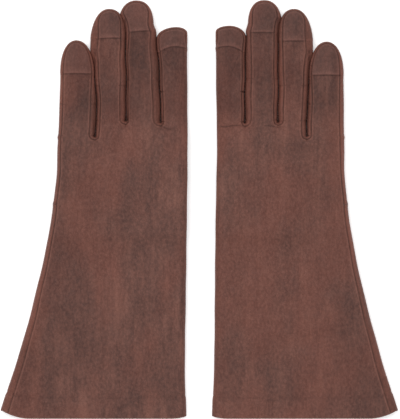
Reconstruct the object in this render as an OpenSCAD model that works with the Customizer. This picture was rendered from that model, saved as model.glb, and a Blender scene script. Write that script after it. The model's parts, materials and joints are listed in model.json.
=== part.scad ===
// A pair of long leather touchscreen gloves, lying palm down side by side.
// Frame: +Z up from the surface they lie on, fingers towards +Y, the pair's middle at X = 0.
// The right glove is drawn at +X; the left one is its mirror image.
// Every joint is a nested one: the inner tube ends in a round lap about the joint's axis,
// and the outer tube's panels stop short of it, so that the leather clears itself as it bends.

/* [Pair] */
// Half of the free space between the two gloves at the hands
half_gap = 9.1; // [6:0.1:20]
// Half of the length from hem to longest fingertip
half_length = 139; // [137:1:142]

/* [Leather] */
// Thickness of the glove leather
leather = 0.7; // [0.6:0.05:0.8]
// Thickness of the lining cloth
lining_t = 0.3; // [0.2:0.05:0.3]
// Slit left along a fold or a seam between two panels of one piece
crease = 0.05; // [0.03:0.01:0.1]
// Clearance between the nested tubes of a joint
clearance = 0.35; // [0.3:0.05:0.4]

/* [Hand] */
// Height of the hand lying flat over its tucked thumb
hand_h = 12.4; // [12.2:0.1:14]
// Width across the knuckles
hand_w = 86.4; // [84:0.2:90]
// Position along Y of the wrist joint
wrist_y = -35; // [-40:1:-32]
// Visible width of the side strip on the back of the hand
strip_w = 2.4; // [1.5:0.1:3]

/* [Cuff] */
// Height of the cuff at its hem
hem_h = 8; // [7.6:0.1:9]
// How far the outer edge flares from the knuckles to the hem
flare = 38.9; // [30:0.1:42]
// Position along Y where the flare begins
flare_top = 30; // [20:1:40]
// Power of the flare's curve
flare_power = 1.47; // [1.2:0.01:2]
// Depth of the turned hem
hem_depth = 12.5; // [8:0.5:14]
// Width of the side gore's lip at the hem
gore_w = 5; // [4:0.5:8]
// How far the outer corner of the hem curves up
hem_rise = 5.5; // [3:0.5:7]

/* [Fingers] */
// Width of the index finger
index_w = 18.8; // [17:0.1:19]
// Width of the middle finger
middle_w = 20.4; // [18:0.1:20.6]
// Width of the ring finger
ring_w = 19.4; // [18:0.1:19.6]
// Width of the little finger
little_w = 21.6; // [19:0.1:21.8]
// Position along Y of the index finger's knuckle joint
index_knuckle = 58; // [57:0.5:60]
// Position along Y of the middle finger's knuckle joint
middle_knuckle = 59; // [57:0.5:60]
// Position along Y of the ring finger's knuckle joint
ring_knuckle = 56; // [54:0.5:58]
// Position along Y of the little finger's knuckle joint
little_knuckle = 50; // [48:0.5:52]
// Length of the index finger beyond its knuckle joint
index_len = 64; // [60:0.5:70]
// Length of the ring finger beyond its knuckle joint
ring_len = 77.5; // [70:0.5:80]
// Length of the little finger beyond its knuckle joint
little_len = 62; // [55:0.5:65]
// Share of a finger's length between its knuckle joint and its middle joint
base_share = 0.44; // [0.4:0.01:0.5]
// Length of the touchscreen patch at the index fingertip
index_patch = 14; // [12:0.5:18]
// Length of the touchscreen patch at the other fingertips
finger_patch = 20.5; // [14:0.5:22]

/* [Thumb] */
// Distance of the thumb hole's centre from the folded edge of the hand
thumb_in = 19; // [17:0.5:22]
// Position along Y of the thumb hole's centre
thumb_y = -2; // [-4:0.5:0]
// Radius of the thumb hole in the palm
thumb_hole_r = 7.6; // [7:0.1:8]
// Half-width of the thumb
thumb_r = 9.2; // [8.6:0.1:9.4]
// Height of the thumb lying flat
thumb_h = 5.7; // [5.6:0.1:5.9]
// Distance from the thumb hole's centre to the thumb's middle joint
thumb_base = 20; // [19:0.5:22]
// Distance from the middle joint to the centre of the thumb's round tip
thumb_end = 19.5; // [18:0.5:20]
// Angle of the tucked thumb from +Y towards the little finger
thumb_tuck = 20; // [15:1:22]
// Largest bend of the thumb's middle joint
thumb_bend = 50; // [30:1:50]

/* [Hidden] */
SIDES = ["left", "right"];
FINGERS = ["index", "middle", "ring", "little"];
HAND_PIECES = ["cuff_trank", "cuff_gore", "cuff_hem", "cuff_lining", "hand_trank", "hand_side_strip",
    "hand_lining", "thumb_sleeve", "thumb_end", "thumb_touch_patch"];
FINGER_PIECES = ["base_sleeve", "base_fourchettes", "end_sleeve", "end_fourchette", "touch_patch"];
$fn = 48;

far = 200;                               // longer than any glove, for cutting blocks
nest = leather + clearance;              // step from one nested tube to the next
mid_z = hand_h / 2;                      // height of the joints' axes
hand_r = hand_h / 2;                     // half-heights of the nested tubes
base_r = hand_r - nest;
end_r = base_r - nest;
knuckle_back_cut = 1.2;                  // panels stop this far short of a joint's axis
knuckle_palm_cut = base_r + clearance;
middle_palm_cut = end_r + clearance;
wrist_back_cut = 2.6;
wrist_palm_cut = 3.2;
palm_lap = 55;                           // angles that the laps reach round a joint's axis
back_lap = 25;

knuckle = [index_knuckle, middle_knuckle, ring_knuckle, little_knuckle];
width = [index_w, middle_w, ring_w, little_w];
reach = [index_len, half_length - middle_knuckle, ring_len, little_len];
little_more = 1.5;                       // the little finger's patch is this much longer
patch = [index_patch, finger_patch, finger_patch, finger_patch + little_more];
space = (hand_w - 2 * nest - index_w - middle_w - ring_w - little_w) / 3;
end_w = [for (w = width) w - 2 * nest];
// left edge of each finger, counted from the folded edge, and the borders between fingers
edge = [for (i = [0:3]) half_gap + nest + i * space
    + (i > 0 ? width[0] : 0) + (i > 1 ? width[1] : 0) + (i > 2 ? width[2] : 0)];
border = [half_gap, edge[1] - space / 2, edge[2] - space / 2, edge[3] - space / 2, half_gap + hand_w];
middle = [for (i = [0:3]) knuckle[i] + base_share * reach[i]];
tip = [for (i = [0:3]) knuckle[i] + reach[i]];

thumb_pivot = [half_gap + thumb_in, thumb_y];
thumb_room = 0.4;                        // free height between the thumb and the palm over it
recess_z = thumb_h + thumb_room;
recess_back = -16;                       // the recess under the palm that the thumb swings in
recess_front = 48;
recess_side = 66;

straight = 6.5;                          // half-length of the parallel stretch at the wrist
hem_y = -half_length;
corner_u = half_gap + hand_w + flare - 2;
corner_start = corner_u - 16;

leather_brown = [0.42, 0.29, 0.26];
strip_brown = [0.49, 0.31, 0.26];
patch_brown = [0.40, 0.29, 0.25];
lining_brown = [0.28, 0.19, 0.16];

// --- outlines in plan ---------------------------------------------------------------------

// X of the outer edge of the glove at y
function outer_edge(y) = half_gap + hand_w
    + (y < flare_top ? flare * pow((flare_top - y) / (flare_top + half_length), flare_power) : 0);
// the same, held straight beside the wrist joint
function hand_edge(y) = outer_edge(abs(y - wrist_y) < straight ? wrist_y + straight : max(y, wrist_y));
function cuff_edge(y) = y > wrist_y - straight ? hand_edge(wrist_y) - nest : outer_edge(y) - nest / 2;
// width of the lips of the side strip and of the gore, which widens towards the hem
function gore_lip(y) = strip_w + (gore_w - strip_w) * (wrist_y - y) / (wrist_y - hem_y);

hand_ys = [wrist_y - straight, wrist_y + straight - 0.1, for (k = [1:6]) wrist_y + straight + k * 9.75, far];
cuff_ys = [wrist_y + base_r, wrist_y - straight + 0.1, for (k = [0:7]) wrist_y - straight - k * 13.1];

// everything from the folded edge to the outer edge less inset
module hand_plan(inset = 0) polygon(concat(
    [[half_gap + inset, far], [half_gap + inset, wrist_y - straight]],
    [for (y = hand_ys) [hand_edge(y) - inset, y]]));

module cuff_plan(inset = 0) {
    fold = half_gap + inset;
    polygon(concat(
        [[fold - 0.5, hem_y], [fold + nest / 2, wrist_y - straight - 1],
            [fold + nest, wrist_y - straight], [fold + nest, wrist_y + base_r]],
        [for (y = cuff_ys) [cuff_edge(y) - inset, y]],
        [for (k = [4:-1:0]) [corner_start + 4 * k - inset, hem_y + hem_rise * pow(k / 4, 2)]]));
}

// the part of the cuff that the gore's lips cover
module gore_plan() difference() {
    cuff_plan();
    polygon(concat([[0, hem_y - 10], [0, far]],
        [for (y = concat([far], cuff_ys, [hem_y - 10])) [cuff_edge(y) - gore_lip(max(y, hem_y)), y]]));
}

// the hand up to a stepped front edge that stops cut short of each knuckle joint
module knuckle_plan(cut, back_y) intersection() {
    hand_plan();
    polygon(concat([for (i = [0:3]) each [[border[i], knuckle[i] - cut], [border[i + 1], knuckle[i] - cut]]],
        [[far, knuckle[3] - cut], [far, back_y], [0, back_y], [0, knuckle[0] - cut]]));
}

// the hand's narrow side strip in plan
module strip_plan() difference() {
    hand_plan();
    translate([-strip_w, 0]) hand_plan();
}

module recess_plan(grow = 0)
    translate([0, recess_back - grow]) square([recess_side + grow, recess_front - recess_back + 2 * grow]);

// --- small helpers ------------------------------------------------------------------------

module slab(z, h) translate([0, 0, z]) linear_extrude(h) children();

// a side view (Y to the right, Z up from the joints' height) drawn out from x0 to x1
module side(x0, x1) translate([x0, 0, mid_z]) rotate([90, 0, 90]) linear_extrude(x1 - x0) children();

// a round lap of an inner tube of half-height r, from below its axis back by the given angle
module lap(r, angle, towards = -1) intersection() {
    difference() {
        circle(r);
        circle(r - leather);
    }
    polygon([[0, 0], [0, -2 * r], [towards * 2 * r * tan(min(angle, 44)), -2 * r],
        [towards * 2 * r * sin(angle), -2 * r * cos(angle)]]);
}

// a flat stretch from y0 to y1 whose top is t above z
module band(y0, y1, z, t) translate([y0, z]) square([y1 - y0, t]);

module on(s) {
    if (s == "left") mirror([1, 0, 0]) children();
    else children();
}

// --- fingers ------------------------------------------------------------------------------

// the back and palm panels of a finger between its knuckle and middle joints
module base_sleeve(i) color(leather_brown) side(edge[i], edge[i] + width[i]) {
    translate([knuckle[i], 0]) {
        lap(base_r, palm_lap);
        mirror([0, 1]) lap(base_r, back_lap);
        band(0, middle[i] - knuckle[i] - middle_palm_cut, -base_r, leather);
        band(0, middle[i] - knuckle[i], base_r - leather, leather);
    }
}

// the two side walls of the same stretch, round about both joints' axes
module base_fourchettes(i) color(strip_brown)
    for (x = [edge[i], edge[i] + width[i] - leather]) side(x, x + leather) {
        for (y = [knuckle[i], middle[i]]) translate([y, 0]) circle(base_r - leather - crease);
        band(knuckle[i], middle[i], crease + leather - base_r, 2 * (base_r - leather - crease));
    }

// plan of a finger beyond its middle joint, with a round tip
module end_plan(i, inset = 0) {
    r = end_w[i] / 2;
    x = edge[i] + width[i] / 2;
    translate([x, tip[i] - r]) circle(r - inset);
    translate([x - r + inset, middle[i] - far / 2]) square([2 * (r - inset), tip[i] - r - middle[i] + far / 2]);
}

module end_sleeve(i) color(leather_brown)
    side(edge[i] + nest, edge[i] + nest + end_w[i]) translate([middle[i], 0]) {
        lap(end_r, palm_lap);
        mirror([0, 1]) lap(end_r, back_lap);
        for (z = [-end_r, end_r - leather]) band(0, tip[i] - patch[i] - middle[i], z, leather);
    }

// the wall round both sides and the tip
module end_fourchette(i) color(strip_brown) intersection() {
    side(edge[i], edge[i] + width[i]) translate([middle[i], 0]) {
        circle(end_r - leather - crease);
        band(0, reach[i], crease + leather - end_r, 2 * (end_r - leather - crease));
    }
    slab(0, hand_h) difference() {
        end_plan(i);
        end_plan(i, leather);
    }
}

// the touchscreen caps on the back and the palm side of a fingertip
module touch_patch(i) color(patch_brown) for (z = [-end_r, end_r - leather]) slab(mid_z + z, leather)
    intersection() {
        end_plan(i);
        translate([0, tip[i] - patch[i]]) square([far, far]);
    }

// --- hand ---------------------------------------------------------------------------------

// one layer of the palm over the plan given, raised over the recess for the thumb,
// d in from the outside and t thick
module palm_layer(d, t) difference() {
    union() {
        slab(d, t) difference() {
            children();
            recess_plan(d);
        }
        slab(recess_z + d, t) intersection() {
            children();
            recess_plan(d + t);
        }
        slab(d, recess_z + t) intersection() {
            children();
            difference() {
                recess_plan(d + t);
                recess_plan(d);
            }
        }
    }
    translate([thumb_pivot[0], thumb_pivot[1], recess_z - 1]) cylinder(r = thumb_hole_r, h = 4);
}

// side view of a wall of the hand, round about the wrist's and a knuckle's axis
module hand_wall(y) {
    r = hand_r - leather - crease;
    for (c = [wrist_y, y]) translate([c, 0]) circle(r);
    band(wrist_y, y, -r, 2 * r);
}

// back, folded edge and palm: one piece of leather with creases at the fold
module hand_trank() color(leather_brown) {
    slab(hand_h - leather, leather) difference() {
        knuckle_plan(knuckle_back_cut, wrist_y + wrist_back_cut);
        strip_plan();
    }
    side(half_gap, half_gap + leather) difference() {
        hand_wall(knuckle[0]);
        band(recess_back - leather - crease, recess_front + leather + crease, -far, far + crease
            + recess_z + leather - mid_z);
    }
    palm_layer(0, leather) difference() {
        knuckle_plan(knuckle_palm_cut, wrist_y + wrist_palm_cut);
        strip_plan();
    }
}

// lips and wall of the narrow strip down the outer side of the hand
module hand_side_strip() color(strip_brown) {
    for (part = [[0, knuckle_palm_cut, wrist_palm_cut], [hand_h - leather, knuckle_back_cut, wrist_back_cut]])
        slab(part[0], leather) intersection() {
            knuckle_plan(part[1], wrist_y + part[2]);
            strip_plan();
        }
    intersection() {
        side(recess_side, hand_edge(wrist_y) + 1) hand_wall(knuckle[3]);
        slab(0, hand_h) difference() {
            hand_plan();
            hand_plan(leather);
        }
    }
}

// cloth inside the hand, clear of the joints at both ends
module hand_lining() color(lining_brown) {
    cut = knuckle_palm_cut + 1;
    back_y = wrist_y + base_r + 1;
    intersection() {
        union() {
            palm_layer(leather, lining_t) knuckle_plan(cut, back_y);
            slab(hand_h - leather - lining_t, lining_t) knuckle_plan(cut, back_y);
            slab(recess_z + leather, hand_h - recess_z - 2 * leather) difference() {
                knuckle_plan(cut, back_y);
                hand_plan(leather + lining_t);
            }
        }
        slab(0, hand_h) hand_plan(leather);
    }
}

// --- cuff ---------------------------------------------------------------------------------

// heights of the cuff's outside above the joints' axes, from the hem to the wrist
flat_y = wrist_y - 8;
rise_y = flat_y - 17;
cuff_top = [[hem_y, hem_h - mid_z], [flat_y, base_r], [wrist_y, base_r]];
cuff_bottom = [[hem_y, -mid_z], [rise_y, -mid_z], [flat_y, -base_r], [wrist_y, -base_r]];
function shifted(line, dz) = [for (p = line) p + [0, dz]];
function reversed(line) = [for (k = [len(line) - 1:-1:0]) line[k]];

// side views of the back and palm layers, d in from the outside and t thick, and of what lies between
module back_layer(d, t) polygon(concat(shifted(cuff_top, -d), reversed(shifted(cuff_top, -d - t))));
module front_layer(d, t) polygon(concat(shifted(cuff_bottom, d), reversed(shifted(cuff_bottom, d + t))));
module between(d) polygon(concat(shifted(cuff_top, -d), reversed(shifted(cuff_bottom, d))));

// the outside layer of the cuff with its laps into the hand
module cuff_layer() {
    back_layer(0, leather);
    front_layer(0, leather);
    translate([wrist_y, 0]) {
        lap(base_r, back_lap, 1);
        mirror([0, 1]) lap(base_r, back_lap, 1);
    }
}

// side view of the cuff's walls
module cuff_wall() {
    between(leather + crease);
    translate([wrist_y, 0]) circle(base_r - leather - crease);
}

// the band of plan between two insets of the cuff
module cuff_rim(inset, t) difference() {
    cuff_plan(inset);
    cuff_plan(inset + t);
}

module cuff_trank() color(leather_brown) {
    intersection() {
        side(0, far) cuff_layer();
        slab(0, hand_h) difference() {
            cuff_plan();
            gore_plan();
        }
    }
    intersection() {
        side(0, half_gap + 3) cuff_wall();
        slab(0, hand_h) difference() {
            cuff_plan();
            translate([leather, 0]) cuff_plan();
        }
    }
}

// the wedge let into the outer side, with a lip on the back and on the palm side
module cuff_gore() color(strip_brown) {
    intersection() {
        side(0, far) cuff_layer();
        slab(0, hand_h) gore_plan();
    }
    intersection() {
        side(recess_side, far) cuff_wall();
        slab(0, hand_h) difference() {
            cuff_plan();
            translate([-leather, 0]) cuff_plan();
        }
    }
}

// the edge of the leather turned in at the hem
module cuff_hem() color(leather_brown) intersection() {
    side(0, far) intersection() {
        union() {
            back_layer(leather, leather);
            front_layer(leather, leather);
        }
        band(hem_y, hem_y + hem_depth, -far, 2 * far);
    }
    slab(0, hand_h) cuff_plan(leather + crease);
}

// cloth inside the cuff from the turned hem to just short of the wrist
module cuff_lining() color(lining_brown) {
    start_y = hem_y + hem_depth + crease;
    intersection() {
        side(0, far) intersection() {
            difference() {
                between(leather);
                between(leather + lining_t);
            }
            band(start_y, wrist_y - 1, -far, 2 * far);
        }
        slab(0, hand_h) cuff_plan(leather + crease);
    }
}

// --- thumb --------------------------------------------------------------------------------

// places a thumb drawn along +Y from its hole's centre
module at_thumb() translate([thumb_pivot[0], thumb_pivot[1], 0]) rotate(-thumb_tuck) children();

// what the thumb's end sweeps over as its middle joint bends, grown by the clearance
module bend_sweep() translate([0, thumb_base]) {
    circle(thumb_r + clearance);
    for (a = [0, -thumb_bend]) rotate(a)
        translate([-thumb_r - clearance, 0]) square([2 * (thumb_r + clearance), far]);
}

// plan of the thumb from its hole to its middle joint, or beyond that joint
module thumb_base_plan(inset = 0) difference() {
    union() {
        circle(thumb_r - inset);
        translate([inset - thumb_r, 0]) square([2 * (thumb_r - inset), thumb_base]);
    }
    bend_sweep();
}

module thumb_end_plan(inset = 0) {
    for (y = [0, thumb_end]) translate([0, thumb_base + y]) circle(thumb_r - inset);
    translate([inset - thumb_r, thumb_base]) square([2 * (thumb_r - inset), thumb_end]);
}

module thumb_wall() slab(leather, thumb_h - 2 * leather) children();

// the thumb's own piece of leather, sewn round the hole in the palm
module thumb_sleeve() color(leather_brown) at_thumb() {
    slab(0, leather) thumb_base_plan();
    difference() {
        slab(thumb_h - leather, leather) thumb_base_plan();
        translate([0, 0, thumb_h - 2]) cylinder(r = thumb_hole_r, h = 4);
    }
    thumb_wall() difference() {
        thumb_base_plan();
        thumb_base_plan(leather);
        translate([-far / 2, thumb_base / 2]) square([far, far]);
    }
    thumb_wall() intersection() {
        difference() {
            thumb_base_plan();
            translate([leather - thumb_r, 0]) square([2 * (thumb_r - leather), far]);
        }
        translate([-far / 2, thumb_base / 2]) square([far, far]);
    }
}

// where the thumb's touchscreen patch starts, from the centre of its hole
thumb_patch_y = thumb_base + thumb_end - 6;

module thumb_end() color(leather_brown) at_thumb() {
    for (z = [0, thumb_h - leather]) slab(z, leather) difference() {
        thumb_end_plan();
        translate([-far / 2, thumb_patch_y]) square([far, far]);
    }
    thumb_wall() difference() {
        thumb_end_plan();
        thumb_end_plan(leather);
        translate([-far / 2, thumb_base - thumb_r / 2 - far]) square([far, far]);
    }
}

module thumb_touch_patch() color(patch_brown) at_thumb() for (z = [0, thumb_h - leather])
    slab(z, leather) intersection() {
        thumb_end_plan();
        translate([-far / 2, thumb_patch_y]) square([far, far]);
    }

// --- the pair -----------------------------------------------------------------------------

for (s = SIDES) {
    on(s) cuff_trank();
    on(s) cuff_gore();
    on(s) cuff_hem();
    on(s) cuff_lining();
    on(s) hand_trank();
    on(s) hand_side_strip();
    on(s) hand_lining();
    on(s) thumb_sleeve();
    on(s) thumb_end();
    on(s) thumb_touch_patch();
    for (i = [0:3]) {
        name = str(s, "_", FINGERS[i], "_");
        on(s) base_sleeve(i);
        on(s) base_fourchettes(i);
        on(s) end_sleeve(i);
        on(s) end_fourchette(i);
        on(s) touch_patch(i);
    }
}
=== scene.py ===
"""A pair of long leather touchscreen gloves, lying palm down side by side.

Each glove is drawn in plan as one outline with its seams, meshed once, and lifted into a back and a
palm sheet that meet along the outline. The sheets are then cut into the pieces that a glover cuts.
Work is in millimetres in the right glove's half (u grows outward from the pair's centre line), and
place() turns that into metres in the frame of either glove.
"""

import json
import math

import bpy
import numpy as np
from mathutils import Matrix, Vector, geometry, noise
from mathutils.kdtree import KDTree


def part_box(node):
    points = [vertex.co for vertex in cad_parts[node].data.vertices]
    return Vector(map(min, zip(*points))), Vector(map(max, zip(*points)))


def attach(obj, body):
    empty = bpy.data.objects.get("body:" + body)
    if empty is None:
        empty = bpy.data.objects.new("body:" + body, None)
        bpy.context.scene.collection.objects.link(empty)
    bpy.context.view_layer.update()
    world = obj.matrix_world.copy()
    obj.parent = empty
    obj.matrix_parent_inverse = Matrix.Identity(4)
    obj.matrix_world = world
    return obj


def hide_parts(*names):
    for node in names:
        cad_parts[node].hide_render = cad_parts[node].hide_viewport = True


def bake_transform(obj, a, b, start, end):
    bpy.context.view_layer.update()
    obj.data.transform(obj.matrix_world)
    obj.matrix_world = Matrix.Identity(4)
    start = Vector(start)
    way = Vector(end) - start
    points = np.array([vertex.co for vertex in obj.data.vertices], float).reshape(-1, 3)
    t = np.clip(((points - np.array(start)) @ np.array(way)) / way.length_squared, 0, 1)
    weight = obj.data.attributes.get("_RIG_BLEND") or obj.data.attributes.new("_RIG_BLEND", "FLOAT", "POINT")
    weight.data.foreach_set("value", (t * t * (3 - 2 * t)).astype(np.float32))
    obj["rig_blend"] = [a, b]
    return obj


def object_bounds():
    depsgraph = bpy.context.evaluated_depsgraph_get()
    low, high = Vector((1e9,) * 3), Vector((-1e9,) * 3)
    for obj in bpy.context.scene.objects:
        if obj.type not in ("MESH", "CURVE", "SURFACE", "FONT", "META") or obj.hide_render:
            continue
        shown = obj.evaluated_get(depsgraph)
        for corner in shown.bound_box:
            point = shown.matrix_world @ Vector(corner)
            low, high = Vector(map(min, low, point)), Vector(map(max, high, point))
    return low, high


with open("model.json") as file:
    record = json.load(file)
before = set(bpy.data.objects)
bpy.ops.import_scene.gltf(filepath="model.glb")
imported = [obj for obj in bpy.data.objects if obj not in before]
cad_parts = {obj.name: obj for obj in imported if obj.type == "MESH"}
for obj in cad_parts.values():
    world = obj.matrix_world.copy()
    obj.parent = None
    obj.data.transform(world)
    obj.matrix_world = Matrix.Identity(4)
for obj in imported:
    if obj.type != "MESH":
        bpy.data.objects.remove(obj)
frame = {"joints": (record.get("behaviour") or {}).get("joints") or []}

CAD_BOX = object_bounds()

MM = 0.001
FINGERS = ("index", "middle", "ring", "little")
CROTCHES = ("index_middle", "middle_ring", "ring_little")
SIGN = {"left": -1, "right": 1}

# --- what the frame says -------------------------------------------------------------------


def mm_box(node):
    """Lowest and highest corner of a CAD node, in millimetres."""
    low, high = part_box(node)
    return low / MM, high / MM


def joint_point(name):
    """A point on a joint's axis, in millimetres."""
    joint = next(j for j in frame["joints"] if j["name"] == name)
    return np.array(joint["pos_m"]) / MM


FINGER_BOXES = [mm_box(f"right_{f}_base_sleeve") for f in FINGERS]
FOLD_U = mm_box("right_hand_trank")[0].x
HAND_TOP = mm_box("right_hand_trank")[1].z
HEM_Y = mm_box("right_cuff_trank")[0].y
CORNER_U = mm_box("right_cuff_gore")[1].x
OUTER_U = FINGER_BOXES[3][1].x + 0.5
MIDDLE_U = [(low.x + high.x) / 2 for low, high in FINGER_BOXES]
BORDERS = [(FINGER_BOXES[k][1].x + FINGER_BOXES[k + 1][0].x) / 2 for k in range(3)]
KNUCKLES = [joint_point(f"right_{f}_knuckle")[1] for f in FINGERS]
MIDDLES = [joint_point(f"right_{f}_middle_joint")[1] for f in FINGERS]
TIPS = [mm_box(f"right_{f}_touch_patch")[1].y for f in FINGERS]
PATCHES = [mm_box(f"right_{f}_touch_patch")[0].y for f in FINGERS]
WRIST_Y = joint_point("right_wrist")[1]
THUMB = joint_point("right_thumb_swing")[:2]
THUMB_MIDDLE = joint_point("right_thumb_bend")[:2]
THUMB_TOP = mm_box("right_thumb_end")[1].z
RECESS = (-16.0, 48.0, 66.0)  # back, front and side of the room for the thumb under the palm

# --- the style of the two gloves -----------------------------------------------------------

LEATHER_T = 0.7
THIN_T = 0.5          # thickness of the hem's turned edge and of the thumb's collar
THUMB_T = 0.6
LINING_T = 0.3
LINING_GAP = 0.55     # between the leather and the lining
WELDED = 1e-4         # points nearer to the outline than this are shared by the back and the palm
HOLE_R = 7.6          # radius of the hole in the palm that the thumb is let into
THUMB_HOLE_R = HOLE_R - 0.3
LOWEST = 0.06         # height of the leather's lowest points above the table
LOWEST_HEM = 0.05     # the same for the hem's turned edge
SLOT = 0.007          # half-width of the gap between two fingers at its narrowest
SLOT_END = 0.015      # the same where the gap ends in its crotch
FLARE_Y = 30.0        # the outer edge runs straight above this
FLARE_POWER = 1.52
HEM_RISE = 5.8        # the outer corner of the hem lies this far above its middle
HEM_DEPTH = mm_box("right_cuff_hem")[1].y - HEM_Y
HEM_ROLL = 8          # rows of points round the rolled edge
STRIP_W = 2.3
GORE_W = 5.0
TIP_W = 1.0           # width of the gussets round the fingertips
GORE_Y = 3.5          # the gore is joined to the hand's side strip here
CUT_BEFORE = 7.5      # pieces are cut this far before the middle joints
# How each fingertip rounds off on its inner and on its outer side: (length, power, root)
TIP_SIDES = (
    ((3.8, 2.0, 0.50), (8, 2.0, 0.50)),
    ((24, 3.6, 0.46), (24, 3.0, 0.45)),
    ((26, 3.6, 0.44), (26, 2.2, 0.48)),
    ((26, 2.4, 0.48), (26, 2.8, 0.50)),
)
TIP_LENGTH = [outer[0] for inner, outer in TIP_SIDES]
REACH = (0, 12.3, 12.4)   # a longer finger reaches this far out from its peak, beside a shorter one
NUBS = (3.5, 48.0)        # the ends of seams stand out a little from the outer edge here

# For each glove: y of the three crotches; the bend of each gap at its crotch, half way and top; the
# width of the inner and outer gusset of each finger, and the same near its tip; how far each peak lies
# outward of the finger's middle line; how far each patch seam is shifted along the finger and tilted;
# how much longer each finger is than in the CAD; and how far the middle finger's inner edge is from its
# middle line above the index
STYLE = {
    "left": dict(
        crotch=(57.9, 58.9, 48.5),
        bend=((-2.5, -1.7, 0.2), (-1.0, -1.3, -0.8), (-1.2, -2.4, -1.0)),
        gussets=((0.0, 1.5), (4.8, 1.1), (3.9, 2.4), (3.9, 2.1)),
        tip_gussets=((1.0, 1.3), (3.6, 2.2), (3.0, 5.0), (1.6, 1.8)),
        peak=(-2.75, 2.9, 0.1, 0.05),
        patch_shift=(-0.7, -0.2, 0.6, 0.1), patch_tilt=(0, 0.7, 0.4, 0),
        tips=(-0.6, 0.15, 0, 0.6), middle_in=8.6, slim=0.6, broad=1.3, swell=0.9,
        waist=(-0.5, 30, 45), start=7,
    ),
    "right": dict(
        crotch=(57.6, 58.2, 48.8),
        bend=((-0.8, -0.6, -0.2), (-0.4, -0.2, -0.4), (-2.0, -1.7, -0.4)),
        gussets=((0.0, 1.8), (3.9, 2.6), (3.4, 3.4), (2.8, 3.0)),
        tip_gussets=((1.0, 1.3), (2.8, 2.8), (2.6, 4.8), (1.4, 2.4)),
        peak=(-0.85, 1.15, 0.2, -0.15),
        patch_shift=(-0.5, -1.0, -1.2, -0.9), patch_tilt=(0, 0, 0, 0),
        tips=(0.25, 0.35, 0, -0.3), middle_in=9.6, slim=0.0, broad=0.2, swell=0.0,
        waist=(0.45, 45, 25), start=31,
    ),
}
KNUCKLE_CUTS = (58.6, 59.2, 59.2, 49.2)  # base pieces start here, just past the crotches
KNUCKLE_BLEND = 13.0  # length over which a knuckle bends
MIDDLE_BLEND = 7.0  # half the length over which a middle joint bends
WRIST_BLEND = 15.0  # half the length over which the wrist bends
STRIP_TOP = 46.0  # the little finger's outer edge is drawn down to here
EDGE_STEP = 1.1   # mm between the points of a finger's straight edges
GRID_STEP = 2.3   # mm between the points of the leather between its seams
BESIDE_SEAM = (-0.8, -0.35, 0.35, 0.8)  # rows of points along a patch seam


def finger_cuts(i):
    """y where finger i's pieces are cut: above its crotches and before its middle joint."""
    return KNUCKLE_CUTS[i], MIDDLES[i] - CUT_BEFORE


def ramp(x, a, b):
    """0 before a, 1 after b, and smooth between them."""
    t = np.clip((np.asarray(x, float) - a) / (b - a), 0, 1)
    return t * t * (3 - 2 * t)


def bell(x, width):
    """1 where x is 0, and soft to nothing at about twice the width."""
    return np.exp(-(np.asarray(x, float) / width) ** 2)


def lean(y):
    """How far both gloves lean to +X towards their fingertips."""
    return 1.5 * ramp(y, HEM_Y, HEM_Y + 180)


def through(values, stops):
    """Rising or falling values, where the nearest one is moved onto each stop within their range."""
    values = values.copy()
    for stop in stops:
        if values.min() < stop < values.max():
            values[1 + np.argmin(np.abs(values[1:-1] - stop))] = stop
    return values


# --- outline in plan -----------------------------------------------------------------------


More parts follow.
